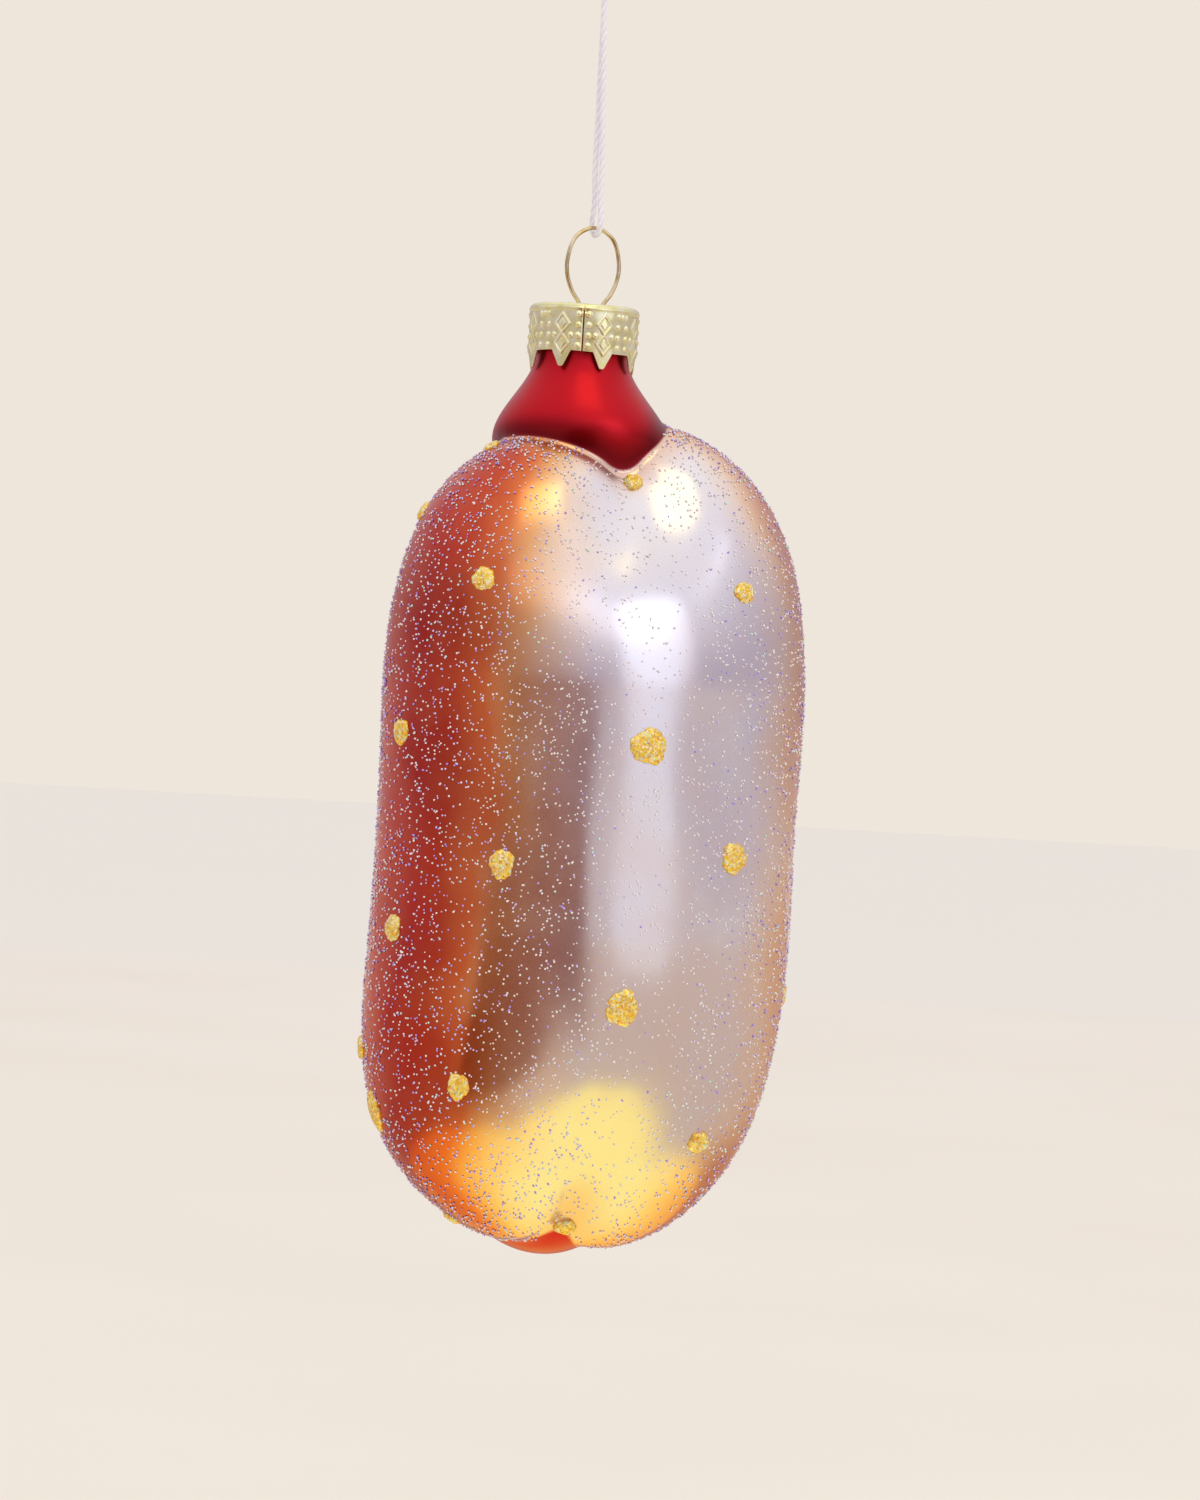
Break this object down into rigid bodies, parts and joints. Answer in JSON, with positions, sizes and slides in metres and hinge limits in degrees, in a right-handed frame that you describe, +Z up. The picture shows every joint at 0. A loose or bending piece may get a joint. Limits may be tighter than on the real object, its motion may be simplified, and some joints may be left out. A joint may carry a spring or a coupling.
{
  "type": "hanging glass ornament",
  "caption": "Blown-glass hanging ornament shaped like a hot dog in a seeded bun, with a crimped gold cap, a wire loop and a white cord.",
  "frame": {"origin": "the hanging point, inside the top of the cord's loop, just under the knot", "axes": "+Z up along the cord and the neck, the sausage faces -Y and the hinge side of the bun faces +Y"},
  "size_m": [0.0524, 0.0372, 0.1593],
  "materials": {
    "painted_glass": "silvered blown glass with satin lacquer, brown and pearl on the bun and red on the sausage, with a coat of fine clear glitter on the bun",
    "glitter_glue": "yellow glitter glue, granular",
    "gold_cap": "pale gold, embossed",
    "gold_wire": "bright drawn wire",
    "white_cord": "laid cord with a slight sheen"
  },
  "bodies": {
    "knot": {"cord_knot": "white_cord"},
    "cord": {"hanging_cord": "white_cord"},
    "hanger": {"hanger_wire": "gold_wire", "cap": "gold_cap"},
    "glass": {"glass_body": "painted_glass", "mustard_line": "glitter_glue", "seed_01": "glitter_glue", "seed_02": "glitter_glue", "seed_03": "glitter_glue", "seed_04": "glitter_glue", "seed_05": "glitter_glue", "seed_06": "glitter_glue", "seed_07": "glitter_glue", "seed_08": "glitter_glue", "seed_09": "glitter_glue", "seed_10": "glitter_glue", "seed_11": "glitter_glue", "seed_12": "glitter_glue", "seed_13": "glitter_glue", "seed_14": "glitter_glue", "seed_15": "glitter_glue", "seed_16": "glitter_glue", "seed_17": "glitter_glue", "seed_18": "glitter_glue", "seed_19": "glitter_glue", "seed_20": "glitter_glue", "seed_21": "glitter_glue", "seed_22": "glitter_glue", "seed_23": "glitter_glue", "seed_24": "glitter_glue", "seed_25": "glitter_glue", "seed_26": "glitter_glue", "seed_27": "glitter_glue", "seed_28": "glitter_glue", "seed_29": "glitter_glue"}
  },
  "joints": [
    {"name": "cord_twist", "type": "hinge", "parent": "knot", "child": "cord", "pos_m": [0, 0, 0], "axis": [0, 0, 1], "range_deg": [-180, 180]},
    {"name": "eye_swing", "type": "hinge", "parent": "cord", "child": "hanger", "pos_m": [0, 0, -0.02975], "axis": [1, 0, 0], "range_deg": [-60, 60]},
    {"name": "glass_pull_off", "type": "slide", "parent": "hanger", "child": "glass", "axis": [0, 0, -1], "range_m": [0, 0.03]}
  ]
}
